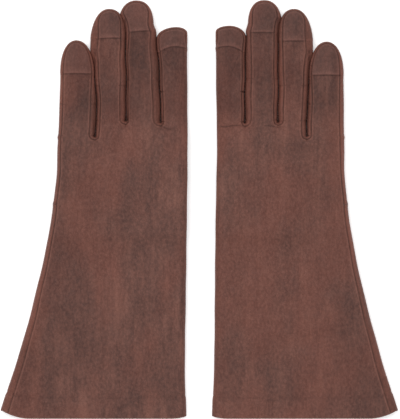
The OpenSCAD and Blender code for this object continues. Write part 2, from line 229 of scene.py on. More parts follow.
class Plan:
    """The outline of one glove in plan, as functions of y and as sampled lines."""

    def __init__(self, side):
        self.side = side
        self.style = STYLE[side]
        self.crotch = self.style["crotch"]
        self.tips = [y + longer for y, longer in zip(TIPS, self.style["tips"])]
        self.patches = [y + shift for y, shift in zip(PATCHES, self.style["patch_shift"])]

    def slot(self, k, y):
        """Half-width of gap k at y."""
        return SLOT + (SLOT_END - SLOT) * (1 - ramp(y, self.crotch[k] + 2, self.crotch[k] + 9))

    def gap(self, k, y):
        """u of the middle of gap k."""
        low, middle, high = self.style["bend"][k]
        top = min(self.tips[k] - TIP_LENGTH[k], self.tips[k + 1] - TIP_LENGTH[k + 1])
        half = (self.crotch[k] + top) / 2
        wave = 0.22 * np.sin(y / 4.3 + 2.3 * k + self.style["start"]) \
            * ramp(y, self.crotch[k], self.crotch[k] + 8)
        return BORDERS[k] + low + (middle - low) * ramp(y, self.crotch[k], half) \
            + (high - middle) * ramp(y, half, top) + wave

    def fold(self, y):
        """u of the folded edge."""
        spread = np.clip((HEM_Y + 49 - y) / 49, 0, 1)
        nub = 0.4 * bell(y - self.patches[0] + 0.5, 0.9)
        shift, at, reach = self.style["waist"]
        waist = shift * bell(y - at, reach)
        return FOLD_U + 0.6 + waist + 0.12 * np.sin(y / 21.0 + self.style["start"]) \
            + 0.07 * np.sin(y / 4.7) - 1.1 * spread**2 - nub

    def outer(self, y):
        """u of the outer edge."""
        drop = np.clip((FLARE_Y - y) / (FLARE_Y - HEM_Y - HEM_RISE), 0, 1.05)
        broad = self.style["broad"] * ramp(y, -60, 0) * (1 - ramp(y, 30, 75)) \
            + self.style["swell"] * bell(y + 50, 22)
        nubs = sum(0.45 * bell(y - at, 1.1) for at in NUBS)
        return OUTER_U + (CORNER_U - OUTER_U) * drop**FLARE_POWER + broad + nubs \
            + 0.15 * np.sin(y / 17.0 + self.style["start"]) + 0.10 * np.sin(y / 5.1)

    def hem(self, u):
        """y of the hem, which rises towards both corners."""
        out = np.clip((u - CORNER_U + 20) / 20, 0, 1)
        inner = np.clip((self.fold(HEM_Y) + 11 - u) / 11, 0, 1)
        return HEM_Y + HEM_RISE * out**2 + 1.5 * inner**2

    def base_edges(self, i, y):
        """Left and right edge of finger i where it hasn't begun to round."""
        left = self.fold(y) if i == 0 else self.gap(i - 1, y) + self.slot(i - 1, y)
        right = self.outer(y) - self.style["slim"] * ramp(y, 60, 92) if i == 3 \
            else self.gap(i, y) - self.slot(i, y)
        return left, right

    def own_edges(self, i, y):
        """Left and right edge of finger i, without its neighbours."""
        start = self.tips[i] - TIP_LENGTH[i]
        below = np.minimum(y, start)
        left, right = self.base_edges(i, below)
        peak = MIDDLE_U[i] + self.style["peak"][i]
        if i in (1, 2):
            neighbour = self.tips[i + 1] - TIP_LENGTH[i + 1]
            right = right + (peak + REACH[i] - right) * ramp(below, neighbour - 12, neighbour + 6)
        if i == 1:
            inner = MIDDLE_U[1] - self.style["middle_in"]
            left = left + (inner - left) * ramp(y, self.tips[0] - 4, self.tips[0] + 2.5)
        shares = []
        for length, power, root in TIP_SIDES[i]:
            t = np.clip((y - self.tips[i] + length) / length, 0, 1)
            shares.append((1 - t**power) ** root)
        return peak - (peak - left) * shares[0], peak + (right - peak) * shares[1]

    def edges(self, i, y):
        """Left and right edge of finger i; a longer finger gives way to a shorter neighbour."""
        left, right = self.own_edges(i, y)
        if i in (1, 2):
            other = np.where(y < self.tips[i + 1], self.own_edges(i + 1, y)[0] - 2 * SLOT, 1e3)
            right = np.minimum(right, other)
        if i == 1:
            other = np.where(y < self.tips[0], self.own_edges(0, y)[1] + 2 * SLOT, -1e3)
            left = np.maximum(left, other)
        return left, right

    def finger_line(self, i, start, stop):
        """Points up finger i's left edge, over its tip and down its right edge, with gusset widths."""
        arc = self.tips[i] - TIP_LENGTH[i]
        phis = np.linspace(0, math.pi / 2, 26)
        p = TIP_SIDES[i][1][1]
        curve = arc + TIP_LENGTH[i] * np.sin(phis) ** (2 / p)
        bend = arc + 0.35 * TIP_LENGTH[i]
        curve = curve[curve > bend]
        first = curve[0] - 0.3
        rise = np.linspace(start, first, int((first - start) / EDGE_STEP))
        fall = np.linspace(first, stop, int((first - stop) / EDGE_STEP))
        up, down = np.concatenate([rise, curve]), np.concatenate([curve[-2::-1], fall])
        up, down = through(up, finger_cuts(i)), through(down, finger_cuts(i))
        left = np.stack([self.edges(i, up)[0], up], 1)
        right = np.stack([self.edges(i, down)[1], down], 1)
        inner, outer = self.style["gussets"][i]
        tip_inner, tip_outer = self.style["tip_gussets"][i]

        def widths(y, side, tip_side):
            t = ramp(y, arc - 16, arc + 4)
            w = side + (tip_side - side) * t
            return w + (TIP_W - w) * ramp(y, bend, self.tips[i] - 1.5)

        if i == 0:
            w_left = TIP_W * ramp(up, self.patches[0] + 0.5, self.patches[0] + 5)
        else:
            w_left = widths(up, inner, tip_inner)
        w_right = widths(down, outer, tip_outer)
        return np.concatenate([left, right]), np.concatenate([w_left, w_right])

    def lines(self):
        """Outline from the hem's folded corner round to its outer corner, with gusset widths."""
        points, widths, self.lobes = [], [], []
        y0 = float(self.hem(self.fold(HEM_Y)))
        ys = np.arange(y0, KNUCKLES[0] - 2, 1.5)
        points.append(np.stack([self.fold(ys), ys], 1))
        widths.append(np.zeros(len(ys)))
        for i in range(4):
            start = KNUCKLES[0] - 2 if i == 0 else self.crotch[i - 1] + SLOT_END
            stop = STRIP_TOP if i == 3 else self.crotch[i] + SLOT_END
            line, w = self.finger_line(i, start, stop)
            points.append(line)
            widths.append(w)
            self.lobes.append(line)
            if i < 3:  # the round end of the gap
                u, y = float(self.gap(i, self.crotch[i])), self.crotch[i] + SLOT_END
                turn = np.radians(np.linspace(180, 360, 9))[1:-1]
                points.append(np.stack([u + SLOT_END * np.cos(turn), y + SLOT_END * np.sin(turn)], 1))
                a = self.style["gussets"][i][1]
                b = self.style["gussets"][i + 1][0]
                share = np.linspace(0, 1, 9)[1:-1]
                widths.append((a + (b - a) * share) * (1 - np.sin(share * math.pi))
                    + 2.0 * np.sin(share * math.pi))
        end = float(self.hem(CORNER_U - 1))
        ys = np.arange(STRIP_TOP - 1.4, end, -1.5)
        points.append(np.stack([self.outer(ys), ys], 1))
        side = self.style["gussets"][3][1]
        w = STRIP_W + (side - STRIP_W) * ramp(ys, 20, STRIP_TOP)
        widths.append(np.where(ys > GORE_Y, w, STRIP_W + 0.4 + (GORE_W - STRIP_W - 0.4)
            * ramp(-ys, -GORE_Y, -HEM_Y)))
        line = np.concatenate(points)
        self.line = np.concatenate([line, [[self.outer(end), end]]])
        self.w = np.append(smooth_open(np.concatenate(widths), 2), GORE_W)
        us = np.linspace(self.line[-1, 0], self.line[0, 0], 90)[1:-1]
        self.hem_line = np.stack([us, self.hem(us)], 1)
        return self


def smooth_open(values, times):
    """Values along an open line, each drawn towards the mean of its neighbours."""
    values = values.astype(float).copy()
    for _ in range(times):
        values[1:-1] = 0.5 * values[1:-1] + 0.25 * (values[:-2] + values[2:])
    return values


def normals_of(line):
    """Unit normals to the right of an open line, which is inward for the outline."""
    d = np.empty_like(line)
    d[1:-1] = line[2:] - line[:-2]
    d[0], d[-1] = line[1] - line[0], line[-1] - line[-2]
    return unit(np.stack([d[:, 1], -d[:, 0]], 1))


def nearest(points, line):
    """Distance of each point from a line of straight pieces, and how far along the nearest place is."""
    a, b = line[:-1], line[1:]
    ab = b - a
    length = np.maximum(np.sqrt((ab**2).sum(1)), 1e-6)
    before = np.concatenate([[0], np.cumsum(length)[:-1]])
    away, along = np.empty(len(points)), np.empty(len(points))
    for k in range(0, len(points), 2000):
        p = points[k:k + 2000, None, :]
        t = np.clip(((p - a) * ab).sum(2) / length**2, 0, 1)
        d2 = ((p - a - t[:, :, None] * ab) ** 2).sum(2)
        best = d2.argmin(1)
        rows = np.arange(len(best))
        away[k:k + 2000] = np.sqrt(d2[rows, best])
        along[k:k + 2000] = before[best] + t[rows, best] * length[best]
    return away, along


def distance(points, line):
    """Distance of each point from a line of straight pieces."""
    return nearest(points, line)[0]


def inside(points, polygon):
    """Whether each point lies in the polygon."""
    x, y = points[:, 0], points[:, 1]
    result = np.zeros(len(points), bool)
    for a, b in zip(polygon, np.roll(polygon, -1, axis=0)):
        crosses = (a[1] > y) != (b[1] > y)
        if crosses.any():
            at = a[0] + (y - a[1]) * (b[0] - a[0]) / (b[1] - a[1] + 1e-15)
            result ^= crosses & (x < at)
    return result


def thinned(points, others, gap):
    """The points that keep gap from each other (roughly) and from the others."""
    if len(points) == 0:
        return points
    cells = {}
    for p in others:
        cells.setdefault((math.floor(p[0] / gap), math.floor(p[1] / gap)), []).append(p)
    kept = []
    for p in points:
        cx, cy = math.floor(p[0] / gap), math.floor(p[1] / gap)
        near = (q for i in (-1, 0, 1) for j in (-1, 0, 1) for q in cells.get((cx + i, cy + j), ()))
        if all((q[0] - p[0]) ** 2 + (q[1] - p[1]) ** 2 >= gap * gap for q in near):
            cells.setdefault((cx, cy), []).append(p)
            kept.append(p)
    return np.array(kept)


def hex_grid(low, high, step):
    """Points in staggered rows between two corners."""
    rows = []
    ys = np.arange(low[1], high[1], step * 0.866)
    for k, y in enumerate(ys):
        xs = np.arange(low[0] + (k % 2) * step / 2, high[0], step)
        rows.append(np.stack([xs, np.full(len(xs), y)], 1))
    return np.concatenate(rows)


def mesh_plan(outline, constraints, free, step):
    """Triangles of the closed outline: constraint lines are kept as edges, free points are added."""
    points = [outline]
    count = len(outline)
    edges = [(k, (k + 1) % count) for k in range(count)]
    for line in constraints:
        points.append(line)
        edges += [(count + k, count + k + 1) for k in range(len(line) - 1)]
        count += len(line)
    fixed = np.concatenate(points)
    grid = hex_grid(outline.min(0), outline.max(0), step)
    grid = grid[inside(grid, outline)]
    near = np.full(len(grid), 1e9)
    for line in [np.concatenate([outline, outline[:1]])] + list(constraints):
        near = np.minimum(near, distance(grid, line))
    grid = grid[near > step * 0.75]
    free = free[inside(free, outline)]
    free = thinned(free, fixed, 0.22)
    grid = thinned(grid, free, step * 0.6)
    everything = np.concatenate([fixed, free, grid])
    made = geometry.delaunay_2d_cdt([Vector(p) for p in everything], edges, [], 0, 1e-5, False)
    verts = np.array([tuple(v) for v in made[0]])
    tris = np.array([f for f in made[2] if len(f) == 3])
    centres = verts[tris].mean(1)
    tris = tris[inside(centres, outline)]
    a, b, c = (verts[tris[:, k]] for k in range(3))
    area = (b[:, 0] - a[:, 0]) * (c[:, 1] - a[:, 1]) - (b[:, 1] - a[:, 1]) * (c[:, 0] - a[:, 0])
    tris = np.where((area < 0)[:, None], tris[:, ::-1], tris)
    tris = tris[np.abs(area) > 1e-7]
    used, flat = np.unique(tris, return_inverse=True)
    return verts[used], flat.reshape(-1, 3)


# --- shape of the sheets -------------------------------------------------------------------


def fingers_at(plan, points):
    """Which finger, 0 to 3, each point lies in or nearest to."""
    away = [np.where(inside(points, lobe), 0, distance(points, lobe)) for lobe in plan.lobes]
    return np.argmin(away, axis=0)


def waves(points, size, seed):
    """Smooth noise between about -1 and 1 at each point, with features of the given size."""
    return np.array([noise.noise(Vector((p[0] / size[0], p[1] / size[1], seed))) for p in points])


def pillow(d, reach, bottom, top):
    """The two heights of a soft edge, which meet where d is 0 and are full at reach."""
    middle = (top + bottom) / 2
    t = np.clip(d / reach, 0, 1)
    share = np.sqrt(np.clip(1 - (1 - t) ** 2, 0, 1))
    return middle + (bottom - middle) * share, middle + (top - middle) * share


def heights(plan, points, d):
    """Heights of the palm side and of the back at each point of the plan."""
    u, y = points[:, 0], points[:, 1]
    seed = plan.style["start"] * 3.7
    above = ramp(y, 44, 62)
    finger_top = np.interp(u, MIDDLE_U, [10.4, 11.0, 10.8, 10.0])
    top = 7.3 + 2.9 * ramp(y, HEM_Y, WRIST_Y - 20) + 1.4 * ramp(y, WRIST_Y - 10, 20)
    top = top + (finger_top - top) * above
    top = top - 0.9 * ramp(u, MIDDLE_U[2], MIDDLE_U[3]) * ramp(y, 20, 48) * (1 - above)
    bottom = np.interp(u, MIDDLE_U, [1.2, 1.2, 1.2, 1.0]) * above + 0.12 * (1 - above)
    back_y, front_y, side_u = RECESS
    lifted = ramp(y, back_y - 8, back_y) * (1 - ramp(y, front_y + 0.5, front_y + 10)) \
        * (1 - ramp(u, side_u + 0.5, side_u + 9))
    bottom = bottom + (THUMB_TOP + 0.55 - bottom) * lifted
    top = top + 0.5 * lifted
    # the leather lies in soft waves
    top = top + 0.30 * waves(points, (26, 60), seed) + 0.16 * waves(points, (9, 15), seed + 5)
    bottom = bottom + 0.10 * (1 + waves(points, (20, 34), seed + 9)) * (1 - above)
    return pillow(d, 5.0 + 1.5 * ramp(y, HEM_Y + 50, 0) + 2.0 * above, bottom, top)


def vertex_normals(verts, tris):
    """Normals of the vertices, by the area of the triangles round each."""
    a, b, c = (verts[tris[:, k]] for k in range(3))
    n = np.cross(b - a, c - a)
    out = np.zeros_like(verts)
    for k in range(3):
        np.add.at(out, tris[:, k], n)
    return unit(out)


def groove(distance_from_seam, depth, width=0.42):
    """How far the surface stands out beside a seam: sunk at the seam, with a soft ridge each side."""
    d = distance_from_seam
    return -depth * bell(d, width) + 0.3 * depth * bell(d - 1.1, 0.5)


class Sheets:
    """Two sheets lifted from one plan mesh and welded along the outline."""

    def __init__(self, flat, tris, welded, low, high):
        n = len(flat)
        palm_index = np.where(welded, np.arange(n), n + np.arange(n))
        self.flat = np.concatenate([flat, flat])
        self.verts = np.concatenate([np.column_stack([flat, high]), np.column_stack([flat, low])])
        self.back = tris
        self.palm = palm_index[tris][:, ::-1]
        self.tris = np.concatenate([self.back, self.palm])

    def normals(self):
        return vertex_normals(self.verts, self.tris)


# --- cloth simulation ----------------------------------------------------------------------

SIM_STEP = 4.0            # mm between the points of the simulated sheets
SIM_INSET = 0.35          # mm that their outline is drawn in, so that the gaps stay open
SIM_SPACING = 2.2         # mm between the points along it
SIM_FRAMES = 24
SIM_STRETCH = 0.010       # how much longer the leather is than the space it lies in
SIM_SHARE = 0.6           # how much of its movement is kept
SIM_CAP = (-0.5, 0.9)     # mm that a point may sink and rise
SIM_NEAR = 6              # simulated points that each point of the finished leather goes by


def spaced(line, least):
    """The points of a line that are at least this far from the one kept before."""
    kept = [line[0]]
    for p in line[1:]:
        if np.linalg.norm(p - kept[-1]) >= least:
            kept.append(p)
    return np.array(kept)


def cloth_sheets(plan):
    """Coarse back and palm sheets of the glove, and whether each vertex is held still."""
    edge = spaced(plan.line + normals_of(plan.line) * SIM_INSET, SIM_SPACING)
    hem = spaced(plan.hem_line, SIM_SPACING)[:-1]
    flat, tris = mesh_plan(np.concatenate([edge, hem]), [], np.empty((0, 2)), SIM_STEP)
    d = distance(flat, edge)
    low, high = heights(plan, flat, d)
    sheets = Sheets(flat, tris, d < WELDED, low, high)
    held = np.concatenate([flat[:, 1] < plan.hem(flat[:, 0]) + 1.0, np.ones(len(flat), bool)])
    return sheets, held


def simulate(plan):
    """Plan points of the back, and how far cloth simulation moves each one up or down."""
    sheets, held = cloth_sheets(plan)
    mesh = bpy.data.meshes.new("cloth")
    mesh.from_pydata((sheets.verts * MM).tolist(), [], sheets.tris.tolist())
    thing = bpy.data.objects.new("cloth", mesh)
    bpy.context.scene.collection.objects.link(thing)
    thing.vertex_groups.new(name="held").add(np.flatnonzero(held).tolist(), 1.0, "REPLACE")
    cloth = thing.modifiers.new("cloth", "CLOTH")
    cloth.settings.quality = 6
    cloth.settings.mass = 0.25
    cloth.settings.tension_stiffness = cloth.settings.compression_stiffness = 20
    cloth.settings.shear_stiffness = 8
    cloth.settings.bending_stiffness = 1.5
    cloth.settings.use_pressure = True
    cloth.settings.uniform_pressure_force = 1.5
    cloth.settings.shrink_min = -SIM_STRETCH
    cloth.settings.effector_weights.gravity = 0
    cloth.settings.vertex_group_mass = "held"
    cloth.collision_settings.use_collision = False
    cloth.point_cache.frame_end = SIM_FRAMES
    scene = bpy.context.scene
    for step in range(1, SIM_FRAMES + 1):
        scene.frame_set(step)
    settled = thing.evaluated_get(bpy.context.evaluated_depsgraph_get())
    after = np.empty(len(sheets.verts) * 3)
    settled.data.vertices.foreach_get("co", after)
    scene.frame_set(1)
    bpy.data.objects.remove(thing)
    count = len(sheets.flat) // 2
    moved = after.reshape(-1, 3)[:count, 2] / MM - sheets.verts[:count, 2]
    return sheets.flat[:count], np.clip(SIM_SHARE * moved, *SIM_CAP)


def relief(plan, points, d):
    """How far the settled leather lifts the back at each point of the plan."""
    coarse, moved = simulate(plan)
    tree = KDTree(len(coarse))
    for k, (u, y) in enumerate(coarse):
        tree.insert((u, y, 0), k)
    tree.balance()
    lift = np.empty(len(points))
    for k, (u, y) in enumerate(points):
        near = tree.find_n((u, y, 0), SIM_NEAR)
        weights = np.array([1 / (far + 0.8) ** 2 for _, _, far in near])
        lift[k] = weights @ moved[[j for _, j, _ in near]] / weights.sum()
    return lift * ramp(d, 0.3, 3.5)


class Piece:
    """Outer triangles with their vertices' places, normals and attributes."""

    def __init__(self, verts, normals, tris, **attributes):
        used, flat = np.unique(tris, return_inverse=True)
        self.verts, self.normals, self.tris = verts[used], normals[used], flat.reshape(-1, 3)
        self.attributes = {name: values[used] for name, values in attributes.items()}


def rim_edges(tris):
    """Directed edges that only one triangle uses."""
    e = np.concatenate([tris[:, [0, 1]], tris[:, [1, 2]], tris[:, [2, 0]]])
    key = np.sort(e, 1)
    _, first, counts = np.unique(key, axis=0, return_index=True, return_counts=True)
    return e[first[counts == 1]]


def tube_faces(rows, count):
    """Triangles of a tube of closed rows of count points each, one row after another."""
    tris = []
    for k in range(rows - 1):
        for j in range(count):
            a, b = k * count + j, k * count + (j + 1) % count
            tris += [(a, a + count, b), (b, a + count, b + count)]
    return np.array(tris)


def unit(vectors):
    """The vectors at length 1."""
    return vectors / np.maximum(np.linalg.norm(vectors, axis=1, keepdims=True), 1e-12)


def place(side, verts):
    """Millimetres in the right glove's half to metres in the frame."""
    out = verts.copy()
    out[:, 0] = SIGN[side] * verts[:, 0] + lean(verts[:, 1])
    return out * MM


def add_piece(name, side, piece, thickness, material):
    """A mesh object of the piece's outer surface, an inner one thickness behind it, and a rim."""
    n = len(piece.verts)
    verts = np.concatenate([piece.verts, piece.verts - thickness * piece.normals])
    rim = rim_edges(piece.tris)
    quads = np.stack([rim[:, 1], rim[:, 0], rim[:, 0] + n, rim[:, 1] + n], 1)
    layers = [piece.tris, piece.tris[:, ::-1] + n, quads]
    if SIGN[side] < 0:  # the left glove is the mirror image
        layers = [faces[:, ::-1] for faces in layers]
    faces = [tuple(f) for layer in layers for f in layer.tolist()]
    mesh = bpy.data.meshes.new(name)
    mesh.from_pydata(place(side, verts).tolist(), [], faces)
    mesh.polygons.foreach_set("use_smooth", np.ones(len(faces), bool))
    mesh.update()
    normals = piece.normals.copy()
    normals[:, 0] *= SIGN[side]
    loop_verts = np.empty(len(mesh.loops), np.int32)
    mesh.loops.foreach_get("vertex_index", loop_verts)
    split = np.where((loop_verts < n)[:, None], normals[loop_verts % n], -normals[loop_verts % n])
    face_normals = np.empty(len(faces) * 3)
    mesh.polygons.foreach_get("normal", face_normals)
    shell = 2 * len(piece.tris)  # the rim's faces come after these, and keep their own flat normals
    split[3 * shell:] = np.repeat(face_normals.reshape(-1, 3)[shell:], 4, axis=0)
    mesh.normals_split_custom_set(split.tolist())
    rest = mesh.attributes.new("rest", "FLOAT_VECTOR", "POINT")
    rest.data.foreach_set("vector", place(side, verts).astype(np.float32).ravel())
    for key, values in piece.attributes.items():
        layer = mesh.attributes.new(key, "FLOAT", "POINT")
        layer.data.foreach_set("value", np.concatenate([values, values]).astype(np.float32))
    thing = bpy.data.objects.new(name, mesh)
    bpy.context.scene.collection.objects.link(thing)
    mesh.materials.append(material)
    return thing


# --- materials -----------------------------------------------------------------------------


def colour(red, green, blue):
    """An sRGB colour, 0 to 255, as Blender's linear one."""
    def linear(v):
        v /= 255
        return v / 12.92 if v <= 0.04045 else ((v + 0.055) / 1.055) ** 2.4
    return (linear(red), linear(green), linear(blue), 1)


def scaled(tone, factor):
    """A lighter or darker version of a colour."""
    return tuple(factor * v for v in tone[:3]) + (1,)


class Nodes:
    """Short calls for building a node material."""

    def __init__(self, name):
        self.material = bpy.data.materials.new(name)
        self.material.use_nodes = True
        self.tree = self.material.node_tree
        self.shader = self.tree.nodes["Principled BSDF"]

    def add(self, kind, inputs=None, **settings):
        node = self.tree.nodes.new(kind)
        for key, value in settings.items():
            setattr(node, key, value)
        for key, value in (inputs or {}).items():
            if isinstance(value, bpy.types.NodeSocket):
                self.tree.links.new(value, node.inputs[key])
            else:
                node.inputs[key].default_value = value
        return node

    def math(self, operation, a, b=0.5, clamp=False):
        return self.add("ShaderNodeMath", {0: a, 1: b}, operation=operation, use_clamp=clamp).outputs[0]

    def mix(self, factor, a, b, blend="MIX"):
        node = self.add("ShaderNodeMix", data_type="RGBA", blend_type=blend)
        for socket, value in (("Factor_Float", factor), ("A_Color", a), ("B_Color", b)):
            target = next(s for s in node.inputs if s.identifier == socket)
            if isinstance(value, bpy.types.NodeSocket):
                self.tree.links.new(value, target)
            else:
                target.default_value = value
        return next(s for s in node.outputs if s.identifier == "Result_Color")

    def attribute(self, name, output="Fac"):
        return self.add("ShaderNodeAttribute", attribute_name=name).outputs[output]

    def noise(self, vector, scale, detail=3.0, roughness=0.5, stretch=None):
        if stretch:
            vector = self.add("ShaderNodeMapping", {"Vector": vector, "Scale": stretch}).outputs[0]
        return self.add("ShaderNodeTexNoise", {"Vector": vector, "Scale": scale, "Detail": detail,
            "Roughness": roughness}).outputs["Fac"]

    def cells(self, vector, scale):
        """Distance from the edges of small cells."""
        return self.add("ShaderNodeTexVoronoi", {"Vector": vector, "Scale": scale, "Randomness": 1.0},
            feature="DISTANCE_TO_EDGE").outputs["Distance"]

    def ramp(self, factor, low, high, a=0.0, b=1.0):
        return self.add("ShaderNodeMapRange", {"Value": factor, "From Min": low, "From Max": high,
            "To Min": a, "To Max": b}).outputs[0]

    def bump(self, height, strength, distance_m, normal=None):
        inputs = {"Height": height, "Strength": strength, "Distance": distance_m}
        if normal is not None:
            inputs["Normal"] = normal
        return self.add("ShaderNodeBump", inputs).outputs[0]

    def set(self, socket, value):
        if isinstance(value, bpy.types.NodeSocket):
            self.tree.links.new(value, self.shader.inputs[socket])
        else:
            self.shader.inputs[socket].default_value = value


def leather(name, base, dark, red, roughness, grain=1.0, shading=0.75):
    """Soft, dyed sheepskin: blotchy dye, fine pebbled grain, seams darkened by their thread and by painted
    shade, rubbed edges with a painted highlight above the patch seams, and painted shade in the gaps between
    the fingers.
    """
    m = Nodes(name)
    at = m.attribute("rest", "Vector")
    blotch = m.ramp(m.noise(at, 52, 5, 0.62, (1, 0.5, 1)), 0.36, 0.62)
    streak = m.ramp(m.noise(at, 430, 3, 0.5, (1, 0.09, 1)), 0.34, 0.68)
    broad_streak = m.ramp(m.noise(at, 170, 3, 0.5, (1, 0.16, 1)), 0.36, 0.64)
    warm = m.ramp(m.noise(at, 34, 3, 0.5, (1, 0.5, 1)), 0.42, 0.62)
    mottle = m.ramp(m.noise(at, 700, 3, 0.6, (1, 0.6, 1)), 0.36, 0.66)
    tone = base
    for mask, amount, dye in ((blotch, 0.80, dark), (broad_streak, 0.64, dark), (streak, 0.46, dark),
            (warm, 0.45, red), (mottle, 0.24, scaled(base, 1.7))):
        tone = m.mix(m.math("MULTIPLY", mask, amount), tone, dye)
    # the shade attribute darkens the colour: the fingers' darker leather, towards the outer edge of the hand
    # and cuff, and painted shade in a band above the hem's turned edge
    tone = m.mix(m.math("MULTIPLY", m.attribute("shade"), shading, True), tone,
        (0.56, 0.52, 0.52, 1), "MULTIPLY")
    pebbles = m.ramp(m.cells(at, 1300.0), 0.0, 0.22)
    creases = m.ramp(m.cells(at, 430.0), 0.0, 0.10)
    # near black: the grain's pores and creases, and along the seams their thread with painted shade in the
    # grooves and creases
    pore_and_shade_dark = (0.018, 0.006, 0.004, 1)
    tone = m.mix(m.ramp(pebbles, 0, 1, 0.22, 0.0), tone, pore_and_shade_dark)
    tone = m.mix(m.ramp(creases, 0, 1, 0.12, 0.0), tone, pore_and_shade_dark)
    uneven = m.ramp(m.noise(at, 120, 2), 0.3, 0.7, 0.40, 0.78)
    # darker along the seams: their thread, with painted shade in their grooves and along the creases
    tone = m.mix(m.math("MULTIPLY", m.attribute("seam"), uneven, True), tone, pore_and_shade_dark)
    # lighter where the leather is rubbed, with a painted highlight just above the patch seams
    tone = m.mix(m.math("MULTIPLY", m.attribute("worn"), 0.22, True), tone, scaled(base, 1.9))
    # painted shade deep in the gaps between the fingers
    tone = m.mix(m.math("MULTIPLY", m.attribute("gap"), 0.9, True), tone, (0.022, 0.006, 0.004, 1))
    m.set("Base Color", tone)
    m.set("Roughness", m.ramp(m.noise(at, 260, 2), 0.3, 0.7, roughness - 0.06, roughness + 0.08))
    m.set("Specular IOR Level", 0.22)
    normal = None
    for height, strength, metres in ((m.noise(at, 2600, 2, 0.5), 0.10 * grain, 0.0003),
            (pebbles, 0.32 * grain, 0.00024), (creases, 0.34 * grain, 0.0004),
            (streak, 0.32, 0.0005), (broad_streak, 0.35, 0.0010)):
        normal = m.bump(height, strength, metres, normal)
    m.set("Normal", normal)
    return m.material


def knitted_cloth(name, base):
    """Fine knitted lining."""
    m = Nodes(name)
    at = m.attribute("rest", "Vector")
    rows = m.add("ShaderNodeTexWave", {"Vector": at, "Scale": 260.0, "Distortion": 1.2,
        "Detail": 1.0}, bands_direction="Y").outputs["Fac"]
    ribs = m.add("ShaderNodeTexWave", {"Vector": at, "Scale": 330.0, "Distortion": 0.6},
        bands_direction="X").outputs["Fac"]
    weave = m.math("MULTIPLY", rows, ribs)
    m.set("Base Color", m.mix(weave, scaled(base, 0.45), base))
    m.set("Roughness", 0.92)
    m.set("Sheen Weight", 0.25)
    m.set("Normal", m.bump(weave, 0.6, 0.0003))
    return m.material


def floor_material():
    """Matt, nearly white, and a little lit from within so that it stays pale."""
    m = Nodes("pale_floor")
    m.set("Base Color", (0.95, 0.95, 0.95, 1))
    m.set("Roughness", 0.9)
    m.set("Specular IOR Level", 0.1)
    m.set("Emission Color", (1, 1, 1, 1))
    m.set("Emission Strength", 0.25)
    return m.material


# --- camera, light and floor ---------------------------------------------------------------


def set_stage():
    """Straight down from above, in soft even light, on a pale floor."""
    scene = bpy.context.scene
    low, high = CAD_BOX
    across = 0.2793  # what the longer side of the picture takes in
    camera = bpy.data.cameras.new("camera")
    camera.lens, camera.sensor_width, camera.sensor_fit = 300, 36, "AUTO"
    view = bpy.data.objects.new("camera", camera)
    away = across * camera.lens / camera.sensor_width
    centre = (low + high) / 2
    view.location = (centre.x + 0.00047, centre.y - 0.00013, high.z * 0.6 + away)
    camera.clip_end = 10
    scene.collection.objects.link(view)
    scene.camera = view
    bpy.ops.mesh.primitive_plane_add(size=6, location=(0, 0, 0))
    floor = bpy.context.active_object
    floor.name = "floor"
    floor.data.materials.append(floor_material())
    world = bpy.data.worlds.new("studio")
    world.use_nodes = True
    world.node_tree.nodes["Background"].inputs["Color"].default_value = (1, 1, 1, 1)
    world.node_tree.nodes["Background"].inputs["Strength"].default_value = 0.72
    scene.world = world
    lamp = bpy.data.lights.new("softbox", "AREA")
    lamp.shape, lamp.size, lamp.size_y = "RECTANGLE", 1.6, 1.6
    lamp.energy = 21
    box = bpy.data.objects.new("softbox", lamp)
    box.location = (-0.25, 0.45, 1.7)
    box.rotation_euler = (Vector((0, 0, 0)) - box.location).to_track_quat("-Z", "Y").to_euler()
    scene.collection.objects.link(box)
    scene.view_settings.view_transform = "Standard"
    scene.view_settings.look = "None"


# --- the gloves ----------------------------------------------------------------------------


def seam_of(plan):
    """The seam line of the gussets: the outline moved inward by their widths."""
    line, w = plan.line, plan.w
    first = int(np.argmax(w > 0.02)) - 1
    n = normals_of(line)
    n = unit(np.stack([smooth_open(n[:, 0], 2), smooth_open(n[:, 1], 2)], 1))
    seam = line[first:] + n[first:] * w[first:, None]
    seam[0] = line[first]
    for _ in range(2):
        seam[1:-1] = 0.5 * seam[1:-1] + 0.25 * (seam[:-2] + seam[2:])
    # the seam ends on the hem
    seam[-1, 1] = plan.hem(seam[-1, 0])
    keep = [0]
    for k in range(1, len(seam)):
        if np.linalg.norm(seam[k] - seam[keep[-1]]) > 0.35:
            keep.append(k)
    return seam[keep], first


def patch_line(plan, i):
    """The seam between a finger's leather and its touch patch: an arch on the index finger."""
    y = plan.patches[i]
    left, right = (float(e) for e in plan.edges(i, y))
    w_in = 0 if i == 0 else plan.style["tip_gussets"][i][0] * 0.9
    w_out = plan.style["tip_gussets"][i][1] * 0.9
    us = np.linspace(left + w_in, right - w_out, 24)
    share = (us - left) / (right - left)
    if i > 0:
        rise = 0.25 * np.sin(share * math.pi) - plan.style["patch_tilt"][i] * (2 * share - 1)
        return np.stack([us, y + rise], 1)
    top = 0.42
    inner, outer = np.clip((top - share) / top, 0, 1), np.clip((share - top) / (1 - top), 0, 1)
    return np.stack([us, y + 1.0 - 1.4 * inner**2 - 4.8 * outer**1.8], 1)


def offsets(line, w, first):
    """Free points beside the outline and the seam, where the surface curves most."""
    n = normals_of(line)
    rows = []
    for share in (0.12, 0.35, 0.66):
        rows.append((line + n * (w * share)[:, None])[first:])
    for extra in (-0.32, 0.35, 0.9, 1.8):
        rows.append((line + n * (w + extra)[:, None])[first:])
    for step in (0.25, 0.7, 1.4, 2.4, 3.6):
        rows.append((line + n * step)[:first + 8])
    return np.concatenate(rows)


